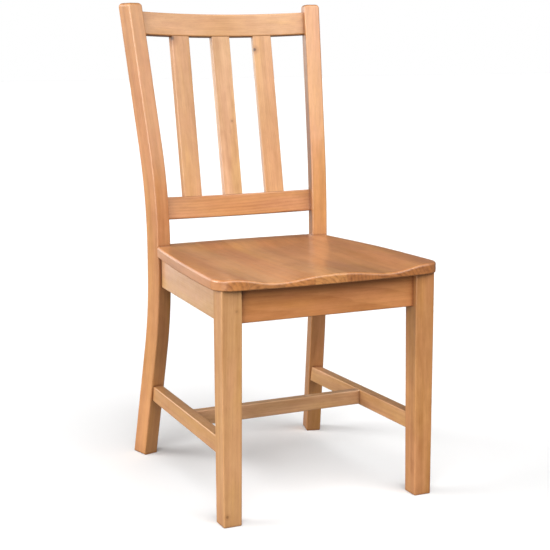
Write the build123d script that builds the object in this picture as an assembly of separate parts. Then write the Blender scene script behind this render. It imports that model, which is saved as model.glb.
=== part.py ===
from build123d import *
import math
import os

# A slat-back dining chair in solid wood, in millimetres. It stands on Z = 0 with its front towards -Y.
# Left and right are as seen from the front. While the pieces are being made, Y = 0 is the front face of
# the front legs. At the end they all move together, so that the origin is the chair's bottom centre.

# Overall
CHAIR_HEIGHT = 932.0
SEAT_UNDERSIDE = 427.5
SEAT_THICKNESS = 21.0

# Front legs: square at the aprons, tapering below them
LEG_OUTER = 214.6
LEG_WIDTH = 39.3
LEG_DEPTH = 38.2
LEG_TAPER_OUTER = 1.2
LEG_TAPER_INNER = 3.3
LEG_TAPER_BACK = 1.4
LEG_EASE = 2.5
FOOT_CHAMFER = 0.8

# Rear posts: straight foot, bend, upright stretch, bend, straight top, sawn from one plank.
# Each is turned so that its front face looks towards the middle of the seat.
POST_X = 175.0
POST_Y = 390.5
POST_TURN = 15.0
POST_WIDTH = 31.6
POST_DEPTH = 40.2
POST_EASE = 3.0
POST_TOP_ROUND = 7.5
FOOT_SPLAY = 11.4
FOOT_BEND_RADIUS = 833.0
FOOT_BEND_TOP = 389.0
BACK_RAKE = 12.75
BACK_BEND_RADIUS = 965.0
BACK_BEND_FOOT = 438.0

# Aprons
APRON_BOTTOM = 365.0
APRON_THICKNESS = 20.0
FRONT_APRON_Y = 11.0
SIDE_APRON_FRONT_X = 206.4
SIDE_APRON_REAR_X = 182.9
REAR_APRON_Y = 400.0
APRON_EASE = 2.0

# Stretchers: one from front to back on each side, and one across between them
STRETCHER_BOTTOM = 121.0
STRETCHER_HEIGHT = 32.0
STRETCHER_THICKNESS = 21.0
STRETCHER_FRONT_X = 194.0
STRETCHER_REAR_X = 183.3
STRETCHER_FRONT_END = 30.0
STRETCHER_REAR_END = 436.0
CENTRE_STRETCHER_Y = 227.0
CENTRE_STRETCHER_BOTTOM = 123.0
CENTRE_STRETCHER_HEIGHT = 29.0
CENTRE_STRETCHER_THICKNESS = 18.0
STRETCHER_EASE = 2.0

# Back frame: two rails bent to one radius and three slats, all square to one raked plane
FRAME_RAKE = 11.2
FRAME_Y = 408.4
FRAME_Z = 500.5
RAIL_RADIUS = 690.0
RAIL_BOW = 25.6
RAIL_THICKNESS = 18.0
RAIL_EASE = 2.5
LOWER_RAIL_HEIGHT = 45.0
CREST_RAIL_START = 377.0
CREST_RAIL_HEIGHT = 47.0
SLAT_SPACING = 92.0
SLAT_WIDTH = 40.5
SLAT_THICKNESS = 15.0
SLAT_INSET = 1.0
SLAT_EASE = 2.0

# Seat: boards glued edge to edge, grain from front to back, hollowed on top
SEAT_OVERHANG = 8.0
SEAT_FRONT_BOW = 12.0
SEAT_CORNER_RADIUS = 36.0
SEAT_FRONT_HALF = 226.5
SEAT_MIDDLE_HALF = 215.0
SEAT_MIDDLE_Y = 194.0
SEAT_REAR_HALF = 193.0
SEAT_REAR_Y = 378.0
SEAT_BACK_Y = 418.0
SEAT_BACK_BOW = 10.0
SEAT_NOTCH_GAP = 0.5
SEAT_JOINTS = (-168.0, -101.0, -43.0, 20.0, 86.0, 150.0)
SEAT_TOP_EASE = 4.5
SEAT_BOTTOM_EASE = 2.5

# Hollows in the seat: a dish, and two thigh scoops that leave a pommel between them
DISH_DEPTH = 9.0
DISH_FRONT_DEPTH = 2.5
DISH_HALF_WIDTH = 206.0
DISH_FULL_Y = 170.0
DISH_RISE_Y = 300.0
DISH_END_Y = 412.0
SCOOP_DEPTH = 9.0
SCOOP_X = 112.0
SCOOP_SPREAD = 55.0
SCOOP_END_Y = 230.0

# Joints and fixings
DOWEL_RADIUS = 4.0
DOWEL_LENGTH = 38.0
DOWEL_CLEARANCE = 0.1
HOLE_SPARE_DEPTH = 1.0
OUTER_DOWEL_HEIGHTS = (375.5, 415.5)
INNER_DOWEL_HEIGHTS = (387.5, 403.5)
RAIL_DOWEL_MARGIN = 12.0
TENON_CLEARANCE = 0.15
SLAT_TENON_WIDTH = 30.0
SLAT_TENON_THICKNESS = 8.0
SLAT_TENON_LENGTH = 10.0
STRETCHER_TENON_THICKNESS = 11.0
STRETCHER_TENON_HEIGHT = 21.0
STRETCHER_TENON_FRONT_END = 22.0
STRETCHER_TENON_REAR_END = 438.0
CENTRE_TENON_THICKNESS = 10.0
CENTRE_TENON_HEIGHT = 19.0
CENTRE_TENON_LENGTH = 9.0
BLOCK_BOTTOM = 396.5
BLOCK_TOP = 426.5
BLOCK_REACH = 75.0
BLOCK_GAP = 1.0
SCREW_RADIUS = 2.0
SCREW_HEAD_RADIUS = 4.0
SCREW_HEAD_HEIGHT = 2.6
SCREW_GRIP = 14.0
SCREW_BITE = 13.0
SCREW_CLEARANCE = 0.1
SCREW_HEAD_CLEARANCE = 0.6
SCREW_Z = 411.5
SEAT_SCREW_SEAT_Z = 408.5
SEAT_SCREW_BITE = 8.0

# Derived
LEG_INNER = LEG_OUTER - LEG_WIDTH
TURN = math.radians(POST_TURN)
RAKE = math.radians(FRAME_RAKE)
SEAT_TOP = SEAT_UNDERSIDE + SEAT_THICKNESS
SIDE_APRON_SLOPE = (SIDE_APRON_REAR_X - SIDE_APRON_FRONT_X) / POST_Y
STRETCHER_SLOPE = (STRETCHER_REAR_X - STRETCHER_FRONT_X) / (STRETCHER_REAR_END - LEG_DEPTH)
STRETCHER_MIDDLE = STRETCHER_BOTTOM + STRETCHER_HEIGHT / 2
FRAME_PLANE = Plane(
    origin=(0, FRAME_Y, FRAME_Z),
    x_dir=(1, 0, 0),
    z_dir=(0, math.sin(RAKE), math.cos(RAKE)),
)
BIG = 1200.0
SIDES = {"left": -1, "right": 1}
ENDS = ("front", "rear")
SLATS = {"left": -1, "centre": 0, "right": 1}


# ---- helpers ----


def prism(points, bottom, top):
    """A straight prism over an outline in plan."""
    outline = make_face(Polyline(*points, close=True))
    return extrude(Pos(0, 0, bottom) * outline, amount=top - bottom)


def rod(start, direction, radius, length):
    """A round bar from a point along a direction."""
    return Plane(origin=start, z_dir=direction) * extrude(Circle(radius), amount=length)


def lengthwise(solid, least):
    """The edges that run further than a given distance from end to end."""
    return [edge for edge in solid.edges() if ((edge @ 1) - (edge @ 0)).length > least]


def cut(solid, tools):
    """A solid with some tools taken out of it, one after another."""
    for tool in tools:
        solid = solid - tool
    return solid


def unit(vector):
    """A vector of length one, as a tuple."""
    return tuple(Vector(*vector).normalized())


# ---- where things are ----


def side_apron_x(y, inset=0.0):
    """X of the right side apron's outer face at a given Y, or of a face that lies inside it."""
    return SIDE_APRON_FRONT_X + SIDE_APRON_SLOPE * y - inset


def stretcher_x(y):
    """X of the right side stretcher's centre line at a given Y."""
    return STRETCHER_FRONT_X + STRETCHER_SLOPE * (y - LEG_DEPTH)


def post_inner_x(y):
    """X of the right post's inner side at a given Y. The side is upright."""
    start_x = POST_X - POST_WIDTH / 2 * math.cos(TURN)
    start_y = POST_Y + POST_WIDTH / 2 * math.sin(TURN)
    return start_x + (y - start_y) * math.tan(TURN)


def post_outward(side):
    """The level direction out through a post's outer side."""
    return (side * math.cos(TURN), -math.sin(TURN), 0)


def rail_end(side, along):
    """The centre of a back rail's section where it meets a post, at a distance up the back frame."""
    x = POST_X
    for _ in range(20):
        depth = RAIL_BOW - RAIL_RADIUS + math.sqrt((RAIL_RADIUS + RAIL_THICKNESS / 2) ** 2 - x * x)
        point = FRAME_PLANE.from_local_coords((x, depth, along))
        x = post_inner_x(point.Y)
    return (side * x, point.Y, point.Z)


# ---- rear posts ----


def post_plane(side):
    """Plane of a rear post's side view: X runs back and outwards, Y runs up."""
    back = (side * math.sin(TURN), math.cos(TURN), 0)
    normal = (math.cos(TURN), -side * math.sin(TURN), 0)
    return Plane(origin=(side * POST_X, POST_Y, 0), x_dir=back, z_dir=normal)


def bend_point(radius, angle, height, depth):
    """A point on a bend. The front face has the radius, and depth counts back from it."""
    swing = math.radians(angle)
    reach = radius - depth
    return (radius - reach * math.cos(swing), height + reach * math.sin(swing))


def post_side_line(depth):
    """One long side of the post's side view, from below the floor to above the top."""
    foot_end = bend_point(FOOT_BEND_RADIUS, -FOOT_SPLAY, FOOT_BEND_TOP, depth)
    foot_middle = bend_point(FOOT_BEND_RADIUS, -FOOT_SPLAY / 2, FOOT_BEND_TOP, depth)
    back_middle = bend_point(BACK_BEND_RADIUS, BACK_RAKE / 2, BACK_BEND_FOOT, depth)
    back_end = bend_point(BACK_BEND_RADIUS, BACK_RAKE, BACK_BEND_FOOT, depth)
    below = foot_end[1] + POST_DEPTH
    above = CHAIR_HEIGHT - back_end[1] + POST_DEPTH
    start = (foot_end[0] + below * math.tan(math.radians(FOOT_SPLAY)), -POST_DEPTH)
    finish = (back_end[0] + above * math.tan(math.radians(BACK_RAKE)), back_end[1] + above)
    return [
        Line(start, foot_end),
        ThreePointArc(foot_end, foot_middle, (depth, FOOT_BEND_TOP)),
        Line((depth, FOOT_BEND_TOP), (depth, BACK_BEND_FOOT)),
        ThreePointArc((depth, BACK_BEND_FOOT), back_middle, back_end),
        Line(back_end, finish),
    ]


def post_blank(side):
    """A rear post with square edges, cut level at the floor and at the top."""
    front = post_side_line(0.0)
    back = post_side_line(POST_DEPTH)
    ends = [Line(front[0] @ 0, back[0] @ 0), Line(front[-1] @ 1, back[-1] @ 1)]
    side_view = make_face(front + back + ends)
    blank = extrude(post_plane(side) * side_view, amount=POST_WIDTH / 2, both=True)
    return blank & (Pos(0, POST_Y, CHAIR_HEIGHT / 2) * Box(BIG, BIG, CHAIR_HEIGHT))


def post_section(side, gap):
    """The upright stretch of a post as an outline in plan, grown by a gap."""
    half = POST_WIDTH / 2 + gap
    corners = [(-gap, -half), (-gap, half), (POST_DEPTH + gap, half), (POST_DEPTH + gap, -half)]
    sine, cosine = math.sin(TURN), math.cos(TURN)
    return [
        (side * (POST_X + back * sine + out * cosine), POST_Y + back * cosine - out * sine)
        for back, out in corners
    ]


def rear_post(side):
    """A rear post with its edges eased and its mortise and dowel holes."""
    post = post_blank(side)
    post = fillet(post.faces().sort_by(Axis.Z)[-1].edges(), radius=POST_TOP_ROUND)
    post = fillet(lengthwise(post, POST_DEPTH), radius=POST_EASE)
    holes = side_apron_dowels(side, "rear", DOWEL_CLEARANCE)
    holes += rear_apron_dowels(side, DOWEL_CLEARANCE)
    holes += rail_dowels(side, DOWEL_CLEARANCE)
    holes += [stretcher_tenon(side, TENON_CLEARANCE)]
    return cut(post, holes)


# ---- front legs ----


def leg_section(side, height, radius):
    """A front leg's section at a height, with its corners rounded."""
    narrowing = 1 - min(height / APRON_BOTTOM, 1.0)
    outer = LEG_OUTER - LEG_TAPER_OUTER * narrowing
    inner = LEG_INNER + LEG_TAPER_INNER * narrowing
    depth = LEG_DEPTH - LEG_TAPER_BACK * narrowing
    place = Pos(side * (outer + inner) / 2, depth / 2, height)
    if radius:
        return place * RectangleRounded(outer - inner, depth, radius)
    return place * Rectangle(outer - inner, depth)


def leg_blank(side, radius=0.0):
    """A front leg: straight beside the aprons and tapered below them."""
    upper = extrude(leg_section(side, APRON_BOTTOM, radius), amount=SEAT_UNDERSIDE - APRON_BOTTOM)
    lower = loft([leg_section(side, 0, radius), leg_section(side, APRON_BOTTOM, radius)])
    return upper + lower


def front_leg(side):
    """A front leg with its edges eased, its foot chamfered, and its mortise and dowel holes."""
    leg = leg_blank(side, LEG_EASE)
    leg = chamfer(leg.faces().sort_by(Axis.Z)[0].edges(), length=FOOT_CHAMFER)
    holes = front_apron_dowels(side, DOWEL_CLEARANCE)
    holes += side_apron_dowels(side, "front", DOWEL_CLEARANCE)
    holes += [stretcher_tenon(side, TENON_CLEARANCE)]
    return cut(leg, holes)


# ---- aprons ----


def front_apron_dowels(side, clearance=0.0):
    """Dowels between the front apron and a leg, or their holes."""
    y = FRONT_APRON_Y + APRON_THICKNESS / 2
    return [dowel((side * LEG_INNER, y, z), (side, 0, 0), clearance) for z in OUTER_DOWEL_HEIGHTS]


def rear_apron_dowels(side, clearance=0.0):
    """Dowels between the rear apron and a post, or their holes."""
    y = REAR_APRON_Y + APRON_THICKNESS / 2
    return [dowel((side * post_inner_x(y), y, z), (side, 0, 0), clearance) for z in OUTER_DOWEL_HEIGHTS]


def side_apron_dowels(side, end, clearance=0.0):
    """Dowels at one end of a side apron, or their holes."""
    y = LEG_DEPTH if end == "front" else POST_Y
    x = side * side_apron_x(y, APRON_THICKNESS / 2)
    along = unit((side * SIDE_APRON_SLOPE, 1, 0))
    return [dowel((x, y, z), along, clearance) for z in INNER_DOWEL_HEIGHTS]


def dowel(middle, direction, clearance):
    """A dowel centred on a joint face. With a clearance it is the hole for it, a little deeper."""
    spare = HOLE_SPARE_DEPTH if clearance else 0.0
    half = DOWEL_LENGTH / 2 + spare
    start = Vector(*middle) - Vector(*direction) * half
    return rod(tuple(start), direction, DOWEL_RADIUS + clearance, 2 * half)


def front_apron():
    """The front apron, between the front legs."""
    outline = [
        (-LEG_INNER, FRONT_APRON_Y),
        (LEG_INNER, FRONT_APRON_Y),
        (LEG_INNER, FRONT_APRON_Y + APRON_THICKNESS),
        (-LEG_INNER, FRONT_APRON_Y + APRON_THICKNESS),
    ]
    apron = prism(outline, APRON_BOTTOM, SEAT_UNDERSIDE)
    apron = fillet(lower_edges(apron, LEG_WIDTH), radius=APRON_EASE)
    for side in SIDES.values():
        apron = cut(apron, front_apron_dowels(side, DOWEL_CLEARANCE))
        apron = cut(apron, screw_holes(block_screws(side, "front")))
    return apron


def rear_apron():
    """The rear apron, between the posts."""
    near, far = REAR_APRON_Y, REAR_APRON_Y + APRON_THICKNESS
    outline = [
        (-post_inner_x(near), near),
        (post_inner_x(near), near),
        (post_inner_x(far), far),
        (-post_inner_x(far), far),
    ]
    apron = prism(outline, APRON_BOTTOM, SEAT_UNDERSIDE)
    apron = fillet(lower_edges(apron, LEG_WIDTH), radius=APRON_EASE)
    for side in SIDES.values():
        apron = cut(apron, rear_apron_dowels(side, DOWEL_CLEARANCE))
        apron = cut(apron, screw_holes(block_screws(side, "rear")))
    return apron


def side_apron(side):
    """A side apron, between a front leg and a rear post."""
    rear = POST_Y + STRETCHER_FRONT_END / 3
    outline = [
        (side * side_apron_x(LEG_DEPTH), LEG_DEPTH),
        (side * side_apron_x(rear), rear),
        (side * side_apron_x(rear, APRON_THICKNESS), rear),
        (side * side_apron_x(LEG_DEPTH, APRON_THICKNESS), LEG_DEPTH),
    ]
    apron = prism(outline, APRON_BOTTOM, SEAT_UNDERSIDE) - post_blank(side)
    apron = fillet(lower_edges(apron, LEG_WIDTH), radius=APRON_EASE)
    for end in ENDS:
        apron = cut(apron, side_apron_dowels(side, end, DOWEL_CLEARANCE))
        apron = cut(apron, screw_holes(block_screws(side, end)))
    return apron


def lower_edges(solid, least):
    """The long edges round the lowest face."""
    return [edge for edge in lengthwise(solid, least) if (edge @ 0.5).Z < solid.bounding_box().min.Z + 1]


# ---- stretchers ----


def stretcher_bar(side, thickness, height, start, finish):
    """A straight bar along a side stretcher's centre line."""
    half = thickness / 2
    outline = [
        (side * (stretcher_x(start) - half), start),
        (side * (stretcher_x(start) + half), start),
        (side * (stretcher_x(finish) + half), finish),
        (side * (stretcher_x(finish) - half), finish),
    ]
    return prism(outline, STRETCHER_MIDDLE - height / 2, STRETCHER_MIDDLE + height / 2)


def stretcher_tenon(side, clearance=0.0):
    """The tenons at both ends of a side stretcher, as one bar, or their mortises."""
    spare = HOLE_SPARE_DEPTH if clearance else 0.0
    return stretcher_bar(
        side,
        STRETCHER_TENON_THICKNESS + 2 * clearance,
        STRETCHER_TENON_HEIGHT + 2 * clearance,
        STRETCHER_TENON_FRONT_END - spare,
        STRETCHER_TENON_REAR_END + spare,
    )


def stretcher_body(side):
    """A side stretcher from shoulder to shoulder."""
    body = stretcher_bar(side, STRETCHER_THICKNESS, STRETCHER_HEIGHT, STRETCHER_FRONT_END, STRETCHER_REAR_END)
    return body - leg_blank(side) - post_blank(side)


def side_stretcher(side):
    """A side stretcher with its tenons and the mortise for the centre stretcher."""
    body = fillet(lengthwise(stretcher_body(side), LEG_WIDTH), radius=STRETCHER_EASE)
    return body + stretcher_tenon(side) - centre_tenon(TENON_CLEARANCE)


def centre_tenon(clearance=0.0):
    """The tenons at both ends of the centre stretcher, as one bar, or their mortises."""
    spare = HOLE_SPARE_DEPTH if clearance else 0.0
    shoulder = stretcher_x(CENTRE_STRETCHER_Y) - STRETCHER_THICKNESS / 2
    length = 2 * (shoulder + CENTRE_TENON_LENGTH + spare)
    middle = CENTRE_STRETCHER_BOTTOM + CENTRE_STRETCHER_HEIGHT / 2
    size = (length, CENTRE_TENON_THICKNESS + 2 * clearance, CENTRE_TENON_HEIGHT + 2 * clearance)
    return Pos(0, CENTRE_STRETCHER_Y, middle) * Box(*size)


def centre_stretcher():
    """The stretcher across the middle, with its tenons."""
    middle = CENTRE_STRETCHER_BOTTOM + CENTRE_STRETCHER_HEIGHT / 2
    size = (2 * STRETCHER_REAR_X, CENTRE_STRETCHER_THICKNESS, CENTRE_STRETCHER_HEIGHT)
    body = Pos(0, CENTRE_STRETCHER_Y, middle) * Box(*size)
    for side in SIDES.values():
        body -= stretcher_body(side)
    body = fillet(lengthwise(body, LEG_WIDTH), radius=STRETCHER_EASE)
    return body + centre_tenon()


# ---- back frame ----


def back_rail(start, height):
    """A bent rail between the posts, before its slat mortises are cut."""
    ring = Circle(RAIL_RADIUS + RAIL_THICKNESS) - Circle(RAIL_RADIUS)
    band = (Pos(0, RAIL_BOW - RAIL_RADIUS) * ring) & Rectangle(2 * LEG_OUTER, POST_Y / 2)
    rail = FRAME_PLANE * extrude(Pos(0, 0, start) * band, amount=height)
    near, far = POST_Y - LEG_DEPTH, POST_Y + 2 * LEG_OUTER
    between_posts = [
        (-post_inner_x(near), near),
        (post_inner_x(near), near),
        (post_inner_x(far), far),
        (-post_inner_x(far), far),
    ]
    rail = rail & prism(between_posts, SEAT_TOP, BIG)
    return fillet(lengthwise(rail, 2 * LEG_INNER / 3), radius=RAIL_EASE)


def drilled_rail(start, height):
    """A back rail with its slat mortises and dowel holes."""
    rail = cut(back_rail(start, height), [slat_tenon(place, TENON_CLEARANCE) for place in SLATS.values()])
    for side in SIDES.values():
        rail = cut(rail, rail_dowels(side, DOWEL_CLEARANCE))
    return rail


def rail_dowels(side, clearance=0.0):
    """Dowels between both back rails and a post, or their holes."""
    heights = []
    for start, height in ((0.0, LOWER_RAIL_HEIGHT), (CREST_RAIL_START, CREST_RAIL_HEIGHT)):
        heights += [start + RAIL_DOWEL_MARGIN, start + height - RAIL_DOWEL_MARGIN]
    return [dowel(rail_end(side, along), post_outward(side), clearance) for along in heights]


def slat_place(place, inset, start):
    """Location on the back frame of one of three slats. Its X follows the rails' bend."""
    swing = math.asin(place * SLAT_SPACING / RAIL_RADIUS)
    reach = RAIL_RADIUS + inset
    x = reach * math.sin(swing)
    depth = RAIL_BOW - RAIL_RADIUS + reach * math.cos(swing)
    return FRAME_PLANE.location * Pos(x, depth, start) * Rot(0, 0, -math.degrees(swing))


def slat_tenon(place, clearance=0.0):
    """The tenons at both ends of a slat, as one bar, or their mortises."""
    spare = HOLE_SPARE_DEPTH if clearance else 0.0
    start = LOWER_RAIL_HEIGHT - SLAT_TENON_LENGTH - spare
    length = CREST_RAIL_START + SLAT_TENON_LENGTH + spare - start
    section = Rectangle(SLAT_TENON_WIDTH + 2 * clearance, SLAT_TENON_THICKNESS + 2 * clearance)
    return slat_place(place, SLAT_INSET + SLAT_THICKNESS / 2, start) * extrude(section, amount=length)


def back_slat(place):
    """A slat with its tenons."""
    body = extrude(Rectangle(SLAT_WIDTH, SLAT_THICKNESS), amount=CREST_RAIL_START - LOWER_RAIL_HEIGHT)
    body = fillet(lengthwise(body, 2 * SLAT_WIDTH), radius=SLAT_EASE)
    body = slat_place(place, SLAT_INSET + SLAT_THICKNESS / 2, LOWER_RAIL_HEIGHT) * body
    return body + slat_tenon(place)


# ---- seat ----


def blend(value, start, finish):
    """A smooth step from 0 at start to 1 at finish."""
    share = min(max((value - start) / (finish - start), 0.0), 1.0)
    return share * share * (3 - 2 * share)


def hollow(x, y):
    """How far the seat's top lies below its rim."""
    across = max(1 - (abs(x) / DISH_HALF_WIDTH) ** 3, 0.0) ** 2
    deepen = DISH_FRONT_DEPTH + (DISH_DEPTH - DISH_FRONT_DEPTH) * blend(y, 0, DISH_FULL_Y)
    dish = deepen * (1 - blend(y, DISH_RISE_Y, DISH_END_Y)) * across
    scoop = math.exp(-(((abs(x) - SCOOP_X) / SCOOP_SPREAD) ** 2)) * (1 - blend(y, 0, SCOOP_END_Y))
    return dish + SCOOP_DEPTH * scoop


def seat_outline():
    """The seat's outline in plan, before it is notched round the posts."""
    corner = (SEAT_FRONT_HALF, -SEAT_OVERHANG)
    inside_x = post_inner_x(SEAT_BACK_Y) + SEAT_NOTCH_GAP * 4
    ear = (SEAT_REAR_HALF - 2.0, SEAT_REAR_Y + 12.0)
    bow = SEAT_BACK_Y + SEAT_BACK_BOW
    edges = [
        ThreePointArc((-corner[0], corner[1]), (0, corner[1] - SEAT_FRONT_BOW), corner),
        ThreePointArc((-inside_x, SEAT_BACK_Y), (0, bow), (inside_x, SEAT_BACK_Y)),
    ]
    for side in SIDES.values():
        waist = (side * SEAT_MIDDLE_HALF, SEAT_MIDDLE_Y)
        rear = (side * SEAT_REAR_HALF, SEAT_REAR_Y)
        edges += [
            ThreePointArc((side * corner[0], corner[1]), waist, rear),
            Line(rear, (side * ear[0], ear[1])),
            Line((side * ear[0], ear[1]), (side * inside_x, SEAT_BACK_Y)),
        ]
    outline = make_face(edges)
    return fillet(outline.vertices().sort_by(Axis.Y)[:2], radius=SEAT_CORNER_RADIUS)


def above_seat():
    """The space above the seat's hollowed top."""
    columns = [(share / 12 * 2 - 1) * (SEAT_FRONT_HALF + 10) for share in range(13)]
    front = -SEAT_OVERHANG - SEAT_FRONT_BOW - 10
    rows = [front + share / 12 * (SEAT_BACK_Y + 20 - front) for share in range(13)]
    points = [[Vector(x, y, SEAT_TOP - hollow(x, y)) for y in rows] for x in columns]
    surface = Face.make_surface_from_array_of_points(points)
    return extrude(surface, amount=SEAT_THICKNESS * 2, dir=(0, 0, 1))


def seat():
    """The whole seat, before it is divided into boards."""
    blank = extrude(Pos(0, 0, SEAT_UNDERSIDE) * seat_outline(), amount=SEAT_THICKNESS * 1.2)
    blank = blank - above_seat()
    blank = fillet(blank.faces().sort_by(Axis.Z)[0].edges(), radius=SEAT_BOTTOM_EASE)
    blank = fillet(blank.faces().sort_by(Axis.Z)[-1].edges(), radius=SEAT_TOP_EASE)
    for side in SIDES.values():
        blank = blank - prism(post_section(side, SEAT_NOTCH_GAP), SEAT_UNDERSIDE - 1, SEAT_TOP + 1)
        blank = cut(blank, screw_holes([seat_screw(side, end) for end in ENDS]))
    return blank


def seat_boards():
    """The seat's boards, from left to right."""
    whole = seat()
    limits = [-BIG / 2, *SEAT_JOINTS, BIG / 2]
    boards = {}
    for number, (low, high) in enumerate(zip(limits, limits[1:]), start=1):
        slice_box = Pos((low + high) / 2, 0, SEAT_UNDERSIDE) * Box(high - low, BIG, BIG / 2)
        boards[f"seat_board_{number}"] = whole & slice_box
    return boards


# ---- corner blocks and screws ----


def block_corner(end):
    """Where the inner faces of two aprons meet on the right, and which way is inwards along Y."""
    y = FRONT_APRON_Y + APRON_THICKNESS if end == "front" else REAR_APRON_Y
    return side_apron_x(y, APRON_THICKNESS), y, 1 if end == "front" else -1


def corner_block(side, end):
    """A corner block, cut round the leg or post, with its screw holes."""
    x, y, inwards = block_corner(end)
    far_y = y + inwards * BLOCK_REACH
    outline = [
        (side * x, y),
        (side * (x - BLOCK_REACH), y),
        (side * side_apron_x(far_y, APRON_THICKNESS), far_y),
    ]
    block = prism(outline, BLOCK_BOTTOM, BLOCK_TOP)
    if end == "front":
        size = LEG_WIDTH + BLOCK_GAP
        room = Box(2 * size, 2 * (LEG_DEPTH + BLOCK_GAP), BIG)
        block -= Pos(side * (LEG_INNER - BLOCK_GAP + size), 0, SEAT_UNDERSIDE) * room
    else:
        block -= prism(post_section(side, BLOCK_GAP), 0, BIG)
    return cut(block, screw_holes([*block_screws(side, end), seat_screw(side, end)]))


def block_screws(side, end):
    """Start, direction and length of the two screws that hold a block to its aprons."""
    x, y, inwards = block_corner(end)
    across = (side * (x - BLOCK_REACH / 2), y + inwards * SCREW_GRIP, SCREW_Z)
    along_y = y + inwards * BLOCK_REACH * 0.65
    outwards = unit((side, -SIDE_APRON_SLOPE, 0))
    face = Vector(side * side_apron_x(along_y, APRON_THICKNESS), along_y, SCREW_Z)
    along = tuple(face - Vector(*outwards) * SCREW_GRIP)
    length = SCREW_GRIP + SCREW_BITE
    return [(across, (0, -inwards, 0), length), (along, outwards, length)]


def seat_screw(side, end):
    """Start, direction and length of the screw up through a block into the seat."""
    x, y, inwards = block_corner(end)
    start = (side * (x - BLOCK_REACH * 0.3), y + inwards * BLOCK_REACH * 0.4, SEAT_SCREW_SEAT_Z)
    return start, (0, 0, 1), SEAT_UNDERSIDE + SEAT_SCREW_BITE - SEAT_SCREW_SEAT_Z


def screw(start, direction, length):
    """A pan-head screw. Its head stands on the start point and its shank runs along the direction."""
    shank = rod(start, direction, SCREW_RADIUS, length)
    back = tuple(-value for value in direction)
    return shank + rod(start, back, SCREW_HEAD_RADIUS, SCREW_HEAD_HEIGHT)


def screw_hole(start, direction, length):
    """The hole for a screw, with room behind it for the head and the driver."""
    shank = rod(start, direction, SCREW_RADIUS + SCREW_CLEARANCE, length + HOLE_SPARE_DEPTH)
    back = tuple(-value for value in direction)
    return shank + rod(start, back, SCREW_HEAD_RADIUS + SCREW_HEAD_CLEARANCE, BLOCK_REACH / 2)


def screw_holes(screws):
    """The holes for several screws."""
    return [screw_hole(*place) for place in screws]


# ---- the chair ----


def chair():
    """Every piece of the chair, by name."""
    pieces = {"front_apron": front_apron(), "rear_apron": rear_apron()}
    pieces["centre_stretcher"] = centre_stretcher()
    pieces["lower_back_rail"] = drilled_rail(0.0, LOWER_RAIL_HEIGHT)
    pieces["crest_rail"] = drilled_rail(CREST_RAIL_START, CREST_RAIL_HEIGHT)
    for name, place in SLATS.items():
        pieces[f"back_slat_{name}"] = back_slat(place)
    pieces.update(seat_boards())
    apron_dowels, back_rail_dowels, corner_screws, seat_screws = [], [], [], []
    for name, side in SIDES.items():
        pieces[f"front_leg_{name}"] = front_leg(side)
        pieces[f"rear_post_{name}"] = rear_post(side)
        pieces[f"side_apron_{name}"] = side_apron(side)
        pieces[f"side_stretcher_{name}"] = side_stretcher(side)
        apron_dowels += front_apron_dowels(side) + rear_apron_dowels(side)
        back_rail_dowels += rail_dowels(side)
        for end in ENDS:
            pieces[f"corner_block_{end}_{name}"] = corner_block(side, end)
            apron_dowels += side_apron_dowels(side, end)
            corner_screws += [screw(*place) for place in block_screws(side, end)]
            seat_screws += [screw(*seat_screw(side, end))]
    pieces["apron_dowels"] = Compound(children=apron_dowels)
    pieces["back_rail_dowels"] = Compound(children=back_rail_dowels)
    pieces["corner_block_screws"] = Compound(children=corner_screws)
    pieces["seat_screws"] = Compound(children=seat_screws)
    return pieces


os.makedirs("parts", exist_ok=True)
chair_pieces = chair()
boxes = [piece.bounding_box() for piece in chair_pieces.values()]
middle_y = (min(box.min.Y for box in boxes) + max(box.max.Y for box in boxes)) / 2
for node, piece in chair_pieces.items():
    export_step(Pos(0, -middle_y, 0) * piece, f"parts/{node}.step")
print(f"middle_y {middle_y:.3f}")
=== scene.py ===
import math
import random

import bpy
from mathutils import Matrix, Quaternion, Vector


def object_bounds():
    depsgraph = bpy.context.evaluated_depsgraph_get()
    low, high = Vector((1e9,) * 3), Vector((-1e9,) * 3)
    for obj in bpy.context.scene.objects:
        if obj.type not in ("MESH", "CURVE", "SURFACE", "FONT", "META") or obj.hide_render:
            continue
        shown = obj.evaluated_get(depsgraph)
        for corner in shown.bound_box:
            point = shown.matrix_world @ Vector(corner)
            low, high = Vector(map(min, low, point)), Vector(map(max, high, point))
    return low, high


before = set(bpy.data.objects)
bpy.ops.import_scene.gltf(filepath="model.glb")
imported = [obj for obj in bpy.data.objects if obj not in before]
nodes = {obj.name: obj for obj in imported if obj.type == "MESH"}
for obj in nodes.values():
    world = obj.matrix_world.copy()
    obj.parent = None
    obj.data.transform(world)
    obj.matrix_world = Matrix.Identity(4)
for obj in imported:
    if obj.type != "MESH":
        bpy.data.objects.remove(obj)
cad_low, cad_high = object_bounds()

# ---------------------------------------------------------------- camera: metres and degrees
SENSOR_MM = 36.0
LENS_MM = 81.8
EYE = Vector((-1.024, -2.204, 0.839))
YAW, PITCH, ROLL = -24.16, -8.90, -0.29
SHIFT = (0.036, -0.055)  # shares of the frame's width


def make_camera():
    """A camera standing in front of the chair and to its left."""
    data = bpy.data.cameras.new("camera")
    cam = bpy.data.objects.new("camera", data)
    bpy.context.scene.collection.objects.link(cam)
    data.sensor_fit = "HORIZONTAL"
    data.sensor_width = SENSOR_MM
    data.lens = LENS_MM
    data.shift_x, data.shift_y = SHIFT
    y, p = math.radians(YAW), math.radians(PITCH)
    forward = Vector((-math.sin(y) * math.cos(p), math.cos(y) * math.cos(p), math.sin(p)))
    cam.rotation_mode = "QUATERNION"
    cam.rotation_quaternion = forward.to_track_quat("-Z", "Y") @ Quaternion((0, 0, 1), math.radians(ROLL))
    cam.location = EYE
    bpy.context.scene.camera = cam


make_camera()


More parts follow.
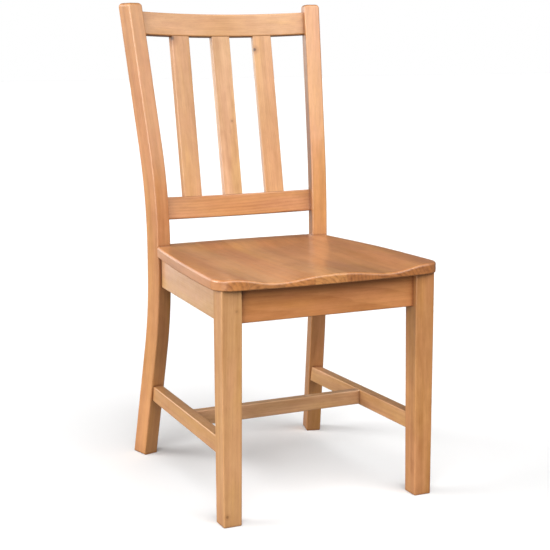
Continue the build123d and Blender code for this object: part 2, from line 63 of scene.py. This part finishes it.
# ---------------------------------------------------------------- node helpers
class Tree:
    """Short calls for building one material's node tree."""

    def __init__(self, name):
        self.material = bpy.data.materials.new(name)
        self.material.use_nodes = True
        self.nodes = self.material.node_tree.nodes
        self.links = self.material.node_tree.links
        self.nodes.clear()

    def feed(self, socket, value):
        if isinstance(value, bpy.types.NodeSocket):
            self.links.new(value, socket)
        elif value is not None:
            socket.default_value = value

    def math(self, op, a, b=None, c=None, clamp=False):
        n = self.nodes.new("ShaderNodeMath")
        n.operation = op
        n.use_clamp = clamp
        for i, v in enumerate((a, b, c)):
            self.feed(n.inputs[i], v)
        return n.outputs[0]

    def vec(self, op, a, b=None):
        n = self.nodes.new("ShaderNodeVectorMath")
        n.operation = op
        self.feed(n.inputs[0], a)
        self.feed(n.inputs[1], b)
        return n.outputs["Value"] if op in ("LENGTH", "DOT_PRODUCT", "DISTANCE") else n.outputs["Vector"]

    def join(self, x, y, z):
        n = self.nodes.new("ShaderNodeCombineXYZ")
        for i, v in enumerate((x, y, z)):
            self.feed(n.inputs[i], v)
        return n.outputs[0]

    def noise(self, vector, scale=1.0, detail=2.0, rough=0.5):
        n = self.nodes.new("ShaderNodeTexNoise")
        self.feed(n.inputs["Vector"], vector)
        n.inputs["Scale"].default_value = scale
        n.inputs["Detail"].default_value = detail
        n.inputs["Roughness"].default_value = rough
        return n.outputs["Fac"]

    def ramp(self, value, low, high, out_low=0.0, out_high=1.0, smooth=True):
        n = self.nodes.new("ShaderNodeMapRange")
        n.interpolation_type = "SMOOTHSTEP" if smooth else "LINEAR"
        self.feed(n.inputs["Value"], value)
        n.inputs["From Min"].default_value = low
        n.inputs["From Max"].default_value = high
        n.inputs["To Min"].default_value = out_low
        n.inputs["To Max"].default_value = out_high
        return n.outputs["Result"]

    def mix(self, factor, a, b, blend="MIX"):
        n = self.nodes.new("ShaderNodeMix")
        n.data_type = "RGBA"
        n.blend_type = blend
        n.clamp_factor = True
        colours = [s for s in n.inputs if s.type == "RGBA"]
        self.feed(n.inputs[0], factor)
        self.feed(colours[0], a)
        self.feed(colours[1], b)
        return next(s for s in n.outputs if s.type == "RGBA")

    def tint(self, factor, colour, factors):
        """The colour, multiplied by these factors as far as the first value says."""
        return self.mix(factor, colour, self.mix(1.0, colour, (*factors, 1), "MULTIPLY"))

    def occlusion(self, distance, inside=False):
        n = self.nodes.new("ShaderNodeAmbientOcclusion")
        n.samples = 6
        n.inside = inside
        n.inputs["Distance"].default_value = distance
        return n.outputs["AO"]

    def bump(self, height, strength, distance):
        n = self.nodes.new("ShaderNodeBump")
        n.inputs["Strength"].default_value = strength
        n.inputs["Distance"].default_value = distance
        self.links.new(height, n.inputs["Height"])
        return n.outputs["Normal"]

    def shader(self, **values):
        n = self.nodes.new("ShaderNodeBsdfPrincipled")
        for key, value in values.items():
            self.feed(n.inputs[key.replace("_", " ")], value)
        output = self.nodes.new("ShaderNodeOutputMaterial")
        self.links.new(n.outputs["BSDF"], output.inputs["Surface"])
        return self.material


def times(colour, factors):
    """A colour with each channel multiplied by its own factor."""
    return tuple(min(c * f, 1.0) for c, f in zip(colour, factors)) + (1.0,)


# ---------------------------------------------------------------- wood
ORDER = {"X": (1, 2, 0), "Y": (0, 2, 1), "Z": (0, 1, 2)}  # two axes across the grain, then the one along it
RAKE = math.tan(math.radians(11.2))

# a post runs straight between two heights, and leans back above and below them
POST_TURN = math.radians(15.0)
BACK_BEND = 0.545
BACK_SLOPE = 0.226
FOOT_BEND = 0.306
FOOT_SLOPE = 0.202
BEND_BLEND = 0.06

# each is a factor on the red, green and blue of a piece's own tone
PALE_GRAIN = (1.15, 1.18, 1.22)
BROWN_GRAIN = (0.79, 0.70, 0.60)
WARM_PATCH = (1.02, 0.97, 1.06)
GOLD_PATCH = (1.0, 1.0, 0.80)
PORE = (0.50, 0.38, 0.30)
END_LIGHT = (1.28, 1.32, 1.36)
END_DARK = (0.66, 0.56, 0.46)
KNOT_HALO = (0.60, 0.46, 0.34)
KNOT_PITH = (0.16, 0.11, 0.08)
# the next three paint light into the colour: shade below overhangs, shade in inside corners, and a highlight
# along eased edges
UNDER_SHADE = (0.50, 0.38, 0.27)
CORNER_SHADE = (0.46, 0.33, 0.24)
EDGE_HIGHLIGHT_AND_WEAR = (1.12, 1.15, 1.20)
PORE_STRENGTH = 0.22

# how far the painted shade and the painted highlight look for a neighbouring surface
UNDER_SHADE_REACH = 0.050
CORNER_SHADE_REACH = 0.007
EDGE_HIGHLIGHT_REACH = 0.004


def grain_axes(t, coords, grain, lean, post):
    """Two distances across the grain and one along it, straightened where the piece leans or bends."""
    split = t.nodes.new("ShaderNodeSeparateXYZ")
    t.links.new(coords, split.inputs[0])
    a, b, c = (split.outputs[i] for i in ORDER[grain])
    if not post:
        return t.math("MULTIPLY_ADD", c, -lean[0], a), t.math("MULTIPLY_ADD", c, -lean[1], b), c
    above = t.math("SMOOTH_MAX", t.math("SUBTRACT", c, BACK_BEND), 0.0, BEND_BLEND)
    below = t.math("SMOOTH_MAX", t.math("SUBTRACT", FOOT_BEND, c), 0.0, BEND_BLEND)
    swing = t.math("ADD", t.math("MULTIPLY", above, BACK_SLOPE), t.math("MULTIPLY", below, FOOT_SLOPE))
    a = t.math("SUBTRACT", a, t.math("MULTIPLY", swing, post * math.sin(POST_TURN)))
    b = t.math("SUBTRACT", b, t.math("MULTIPLY", swing, math.cos(POST_TURN)))
    return a, b, c


def late_wood(t, rnd, axes, stretched, heart, spacing):
    """The dark side of each growth ring. The rings wander slowly along the board."""
    a, b, c = axes
    drift_a = t.math("MULTIPLY_ADD", c, -rnd.uniform(-0.05, 0.05), t.math("SUBTRACT", a, heart[0]))
    drift_b = t.math("MULTIPLY_ADD", c, -rnd.uniform(-0.05, 0.05), t.math("SUBTRACT", b, heart[1]))
    radius = t.vec("LENGTH", t.join(drift_a, drift_b, 0.0))
    radius = t.math("MULTIPLY_ADD", stretched(0.16, 9.0, 2.0), 0.030, radius)
    radius = t.math("MULTIPLY_ADD", stretched(0.10, 45.0, 2.0), 0.0035, radius)
    ring = t.math("FRACT", t.math("MULTIPLY", radius, 1.0 / spacing))
    return t.math("MULTIPLY", t.ramp(ring, 0.35, 0.93), t.ramp(ring, 0.93, 1.0, 1.0, 0.0))


def end_grain(t, colour, base, grain, lean, end, end_rings, fibre, late, blotch):
    """Sawn ends drink more finish, turn darker, and show the rings."""
    geometry = t.nodes.new("ShaderNodeNewGeometry")
    axis = [0.0, 0.0, 0.0]
    for i, v in zip(ORDER[grain], (lean[0], lean[1], 1.0)):
        axis[i] = v
    along = tuple(Vector(axis).normalized())
    facing = t.math("ABSOLUTE", t.vec("DOT_PRODUCT", geometry.outputs["Normal"], along))
    sawn = times(base, end)
    rays = t.math("MULTIPLY", late, end_rings)
    rays = t.math("MULTIPLY_ADD", t.math("SUBTRACT", blotch, 0.45), 2.4, rays)
    rays = t.math("MULTIPLY_ADD", t.math("SUBTRACT", fibre, 0.5), 0.6, rays, clamp=True)
    end_colour = t.mix(rays, times(sawn, END_LIGHT), times(sawn, END_DARK))
    return t.mix(t.ramp(facing, 0.70, 0.96), colour, end_colour)


def add_knots(t, colour, base, coords, figure, knots):
    """Each knot is a dark pith in a softer halo, both with an uneven outline."""
    for centre, size, strength in knots:
        distance = t.vec("DISTANCE", coords, centre)
        distance = t.math("MULTIPLY_ADD", t.math("SUBTRACT", figure, 0.5), size * 1.2, distance)
        halo = t.ramp(distance, size * 0.8, size * 3.0, 0.7 * strength, 0.0)
        colour = t.mix(halo, colour, times(base, KNOT_HALO))
        pith = t.ramp(distance, size * 0.45, size * 1.1, strength, 0.0)
        colour = t.mix(pith, colour, times(base, KNOT_PITH))
    return colour


def add_painted_shade_and_highlight(t, colour, painted_under_shade):
    """Painted shade below overhangs such as the seat and in inside corners, and a painted highlight on the
    eased edges, where the finish is also thinner.
    """
    # painted shade, darkest just below an overhang such as the seat's front lip
    under = t.ramp(t.occlusion(UNDER_SHADE_REACH), 0.50, 0.97, painted_under_shade, 0.0)
    colour = t.tint(under, colour, UNDER_SHADE)
    # painted shade in inside corners and along joints, partly standing for finish built up in the joint lines
    corner_shade = t.ramp(t.occlusion(CORNER_SHADE_REACH), 0.45, 0.88, 0.75, 0.0)
    colour = t.tint(corner_shade, colour, CORNER_SHADE)
    # painted highlight along the eased edges, partly standing for the finish being thinner there
    edge_highlight = t.ramp(t.occlusion(EDGE_HIGHLIGHT_REACH, inside=True), 0.35, 0.85, 0.30, 0.0)
    return t.tint(edge_highlight, colour, EDGE_HIGHLIGHT_AND_WEAR)


def wood(name, grain, base, seed, contrast=1.0, rings=0.12, heart=None, spacing=None, lean=(0.0, 0.0),
         post=0, knots=(), end=(0.70, 0.60, 0.48), end_rings=0.45, painted_under_shade=0.25, gloss=0.2, sealed=True):
    """Straight-grained pale hardwood under satin lacquer. The heart is where the tree's centre lay."""
    rnd = random.Random(seed)
    t = Tree(name)
    coords = t.nodes.new("ShaderNodeTexCoord").outputs["Object"]
    axes = grain_axes(t, coords, grain, lean, post)
    away = [rnd.uniform(-9, 9) for _ in range(3)]
    heart = heart or (rnd.uniform(-0.05, 0.05), rnd.choice((-1, 1)) * rnd.uniform(0.03, 0.10))
    spacing = spacing or rnd.uniform(0.0042, 0.0060)
    grown = t.vec("ADD", t.join(*axes), away)

    def stretched(share, scale, detail, rough=0.5):
        """Noise drawn out along the grain; the share is how fast it changes that way."""
        return t.noise(t.vec("MULTIPLY", grown, (1, 1, share)), scale, detail, rough)

    late = late_wood(t, rnd, axes, stretched, heart, spacing)
    fibre = stretched(0.030, 650.0, 3.0, 0.6)
    streak = stretched(0.022, 95.0, 3.0, 0.55)
    drift = stretched(0.22, 13.0, 3.0, 0.5)
    figure = stretched(0.45, 60.0, 3.0, 0.55)
    warm = stretched(0.30, 21.0, 2.0)
    gold = stretched(0.12, 34.0, 2.0)
    pores = t.ramp(stretched(0.05, 1500.0, 1.0), 0.60, 0.72)
    blotch = stretched(1.0, 110.0, 3.0, 0.6)

    shade = t.math("MULTIPLY_ADD", streak, 1.4 * contrast, 0.44 - 0.70 * contrast)
    shade = t.math("MULTIPLY_ADD", t.math("SUBTRACT", fibre, 0.5), 0.55, shade)
    shade = t.math("MULTIPLY_ADD", t.math("SUBTRACT", drift, 0.5), 1.6 * contrast, shade)
    shade = t.math("MULTIPLY_ADD", t.math("SUBTRACT", figure, 0.5), 0.9 * contrast, shade)
    shade = t.math("MULTIPLY_ADD", late, rings, shade, clamp=True)
    colour = t.mix(shade, times(base, PALE_GRAIN), times(base, BROWN_GRAIN))
    colour = t.tint(t.ramp(warm, 0.42, 0.66, 0.0, 0.8), colour, WARM_PATCH)
    colour = t.tint(t.ramp(gold, 0.45, 0.70, 0.0, 0.8), colour, GOLD_PATCH)
    colour = t.mix(t.math("MULTIPLY", pores, PORE_STRENGTH), colour, times(base, PORE))
    colour = end_grain(t, colour, base, grain, lean, end, end_rings, fibre, late, blotch)
    colour = add_knots(t, colour, base, coords, figure, knots)
    colour = add_painted_shade_and_highlight(t, colour, painted_under_shade)

    height = t.math("MULTIPLY_ADD", pores, -0.6, t.math("MULTIPLY", fibre, 0.6))
    height = t.math("MULTIPLY_ADD", late, 0.3, height)
    polish = t.noise(grown, 70.0, 2.0)
    if not sealed:
        return t.shader(
            Base_Color=colour,
            Roughness=t.ramp(polish, 0.3, 0.7, 0.62, 0.8),
            Normal=t.bump(height, 0.6, 0.0003),
        )
    return t.shader(
        Base_Color=colour,
        Roughness=t.ramp(polish, 0.3, 0.7, 0.42, 0.56),
        Normal=t.bump(height, 0.25, 0.00015),
        IOR=1.5,
        Coat_Weight=1.0,
        Coat_Roughness=gloss,
        Coat_IOR=1.5,
        Coat_Normal=t.bump(t.math("ADD", polish, t.math("MULTIPLY", fibre, 0.2)), 0.12, 0.0004),
    )


def steel(name):
    """Zinc-plated steel with faint clouding."""
    t = Tree(name)
    coords = t.nodes.new("ShaderNodeTexCoord").outputs["Object"]
    cloud = t.noise(coords, 900.0, 3.0)
    colour = t.mix(t.ramp(cloud, 0.35, 0.65), (0.56, 0.57, 0.58, 1), (0.70, 0.70, 0.68, 1))
    return t.shader(
        Base_Color=colour,
        Metallic=1.0,
        Roughness=t.ramp(cloud, 0.3, 0.7, 0.28, 0.42),
        Normal=t.bump(cloud, 0.15, 0.0001),
    )


def paint(node, material):
    """Give every material slot of a piece the same material."""
    mesh = nodes[node].data
    if len(mesh.materials) == 0:
        mesh.materials.append(material)
    for i in range(len(mesh.materials)):
        mesh.materials[i] = material


# tones of the lacquered wood, from the palest board to the deepest
STRAW = (0.62, 0.36, 0.18)
HONEY = (0.59, 0.31, 0.13)
AMBER = (0.54, 0.25, 0.09)
TOFFEE = (0.50, 0.21, 0.07)
RUSSET = (0.60, 0.25, 0.08)
BARE = (0.52, 0.33, 0.18)  # unfinished wood, inside the chair
PALE_END = (0.88, 0.80, 0.64)
POST_END = (0.50, 0.36, 0.25)
SEAT = dict(grain="Y", gloss=0.28)


def on_front(node, across, height):
    """The point of a piece's front face at this height, this far to the right of its middle."""
    piece = nodes[node]
    sides = [corner[0] for corner in piece.bound_box]
    start = Vector(((min(sides) + max(sides)) / 2 + across, cad_low.y - 1.0, height))
    hit, place, _, _ = piece.ray_cast(start, Vector((0.0, 1.0, 0.0)))
    if not hit:
        raise ValueError(f"no front face on {node} there")
    return tuple(place)


# a knot is how far right of the piece's middle, its height, its size and how dark it is
KNOTS = {
    "front_leg_left": ((-0.012, 0.020, 0.0028, 0.45), (0.009, 0.390, 0.0030, 0.25)),
    "back_slat_left": ((-0.019, 0.862, 0.0075, 0.9),),
    "back_slat_centre": ((0.010, 0.690, 0.0026, 0.4),),
    "back_slat_right": ((-0.019, 0.838, 0.0045, 0.9),),
}
WOODS = {
    "front_leg_left": dict(base=HONEY, grain="Z", seed=21, contrast=0.8),
    # its deeper tone is partly browner wood, partly painted shade for the light falling off towards the right
    # of the chair
    "front_leg_right": dict(base=AMBER, grain="Z", seed=22, contrast=1.3, heart=(0.30, 0.02)),
    "rear_post_left": dict(base=AMBER, grain="Z", seed=23, post=-1, end=POST_END),
    "rear_post_right": dict(base=AMBER, grain="Z", seed=24, post=1, end=POST_END),
    "crest_rail": dict(base=HONEY, grain="X", seed=25, contrast=0.8),
    "lower_back_rail": dict(base=AMBER, grain="X", seed=26, contrast=0.8, rings=0.3),
    "back_slat_left": dict(base=HONEY, grain="Z", seed=27, lean=(0, RAKE)),
    "back_slat_centre": dict(base=STRAW, grain="Z", seed=28, lean=(0, RAKE), contrast=1.1),
    "back_slat_right": dict(base=HONEY, grain="Z", seed=29, lean=(0, RAKE)),
    # the front apron gets a strong painted shade below the seat's front overhang
    "front_apron": dict(
        base=RUSSET, grain="X", seed=30, rings=0.3, heart=(-0.35, 0.37), contrast=0.9, painted_under_shade=0.6),
    "rear_apron": dict(base=AMBER, grain="X", seed=31),
    "side_apron_left": dict(base=STRAW, grain="Y", seed=32, contrast=0.6, lean=(0.06, 0)),
    "side_apron_right": dict(base=AMBER, grain="Y", seed=33, contrast=0.8, lean=(-0.06, 0)),
    "side_stretcher_left": dict(base=HONEY, grain="Y", seed=34, contrast=0.8, lean=(0.027, 0)),
    "side_stretcher_right": dict(base=HONEY, grain="Y", seed=35, lean=(-0.027, 0)),
    "centre_stretcher": dict(base=STRAW, grain="X", seed=36),
    "seat_board_1": dict(SEAT, base=TOFFEE, seed=41, heart=(-0.21, 0.42), spacing=0.008, end=PALE_END),
    "seat_board_2": dict(SEAT, base=AMBER, seed=42, heart=(-0.12, 0.36), spacing=0.008),
    "seat_board_3": dict(SEAT, base=TOFFEE, seed=43, heart=(-0.03, 0.50), spacing=0.007, end=PALE_END),
    "seat_board_4": dict(SEAT, base=AMBER, seed=44, heart=(-0.06, 0.39), spacing=0.009, end=PALE_END),
    "seat_board_5": dict(SEAT, base=TOFFEE, seed=45, heart=(0.40, 0.43), spacing=0.007),
    "seat_board_6": dict(SEAT, base=TOFFEE, seed=46, heart=(0.10, 0.34), spacing=0.008),
    "seat_board_7": dict(SEAT, base=TOFFEE, seed=47, heart=(0.27, 0.50), spacing=0.008),
}
CORNERS = ("front_left", "front_right", "rear_left", "rear_right")
DOWEL_SEED = 60
BLOCK_SEED = 50
for node in sorted(nodes):
    if node in WOODS:
        knots = []
        for across, height, size, dark in KNOTS.get(node, ()):
            knots.append((on_front(node, across, height), size, dark))
        paint(node, wood(f"wood_{node}", knots=knots, **WOODS[node]))
    elif "screws" in node:
        paint(node, steel(f"steel_{node}"))
    elif "dowels" in node:
        paint(node, wood(f"wood_{node}", "X", BARE, DOWEL_SEED, sealed=False))
    else:
        number = CORNERS.index(node.replace("corner_block_", ""))
        paint(node, wood(f"wood_{node}", "Y" if number % 2 else "X", BARE, BLOCK_SEED + number, sealed=False))


# ---------------------------------------------------------------- floor and light
FLOOR_HALF = 30.0
FLOOR_DROP = 0.0005
AMBIENT = 0.11
SOFTBOXES = {
    # azimuth, elevation and spread in degrees, then strength
    "left": (-110, 20, 45, 0.95),
    "front_left": (-50, 10, 40, 0.65),
    "overhead": (0, 50, 60, 0.85),
    "right_fill": (50, 30, 40, 0.20),
    "back_fill": (-165, 10, 40, 0.15),
}


def make_floor():
    """A plain pale floor just under the feet. It adds no bounce light or reflection."""
    mesh = bpy.data.meshes.new("floor")
    s = FLOOR_HALF
    mesh.from_pydata([(-s, -s, 0), (s, -s, 0), (s, s, 0), (-s, s, 0)], [], [(0, 1, 2, 3)])
    floor = bpy.data.objects.new("floor", mesh)
    floor.location = (0, 0, cad_low.z - FLOOR_DROP)
    bpy.context.scene.collection.objects.link(floor)
    t = Tree("floor")
    mesh.materials.append(t.shader(Base_Color=(0.90, 0.90, 0.90, 1), Roughness=0.9, Specular_IOR_Level=0.0))
    floor.visible_diffuse = False
    floor.visible_glossy = False


def sun(name, azimuth, elevation, spread, strength):
    """A soft distant light. Azimuth is clockwise from straight in front, as seen from above."""
    data = bpy.data.lights.new(name, "SUN")
    data.angle = math.radians(spread)
    data.energy = strength * math.pi
    light = bpy.data.objects.new(name, data)
    bpy.context.scene.collection.objects.link(light)
    a, e = math.radians(azimuth), math.radians(elevation)
    away = Vector((math.sin(a) * math.cos(e), -math.cos(a) * math.cos(e), math.sin(e)))
    light.rotation_mode = "QUATERNION"
    light.rotation_quaternion = (-away).to_track_quat("-Z", "Y")


def make_world(ambient):
    """Soft light from all around, behind a white background."""
    world = bpy.data.worlds.new("world")
    bpy.context.scene.world = world
    world.use_nodes = True
    tree = world.node_tree
    soft = tree.nodes["Background"]
    soft.inputs["Color"].default_value = (1, 1, 1, 1)
    soft.inputs["Strength"].default_value = ambient
    white = tree.nodes.new("ShaderNodeBackground")
    white.inputs["Color"].default_value = (1, 1, 1, 1)
    rays = tree.nodes.new("ShaderNodeLightPath")
    mix = tree.nodes.new("ShaderNodeMixShader")
    tree.links.new(rays.outputs["Is Camera Ray"], mix.inputs[0])
    tree.links.new(soft.outputs[0], mix.inputs[1])
    tree.links.new(white.outputs[0], mix.inputs[2])
    tree.links.new(mix.outputs[0], tree.nodes["World Output"].inputs["Surface"])


make_floor()
make_world(AMBIENT)
for name, (azimuth, elevation, spread, strength) in SOFTBOXES.items():
    sun(f"softbox_{name}", azimuth, elevation, spread, strength)
bpy.context.scene.view_settings.view_transform = "Standard"
bpy.context.scene.view_settings.look = "None"
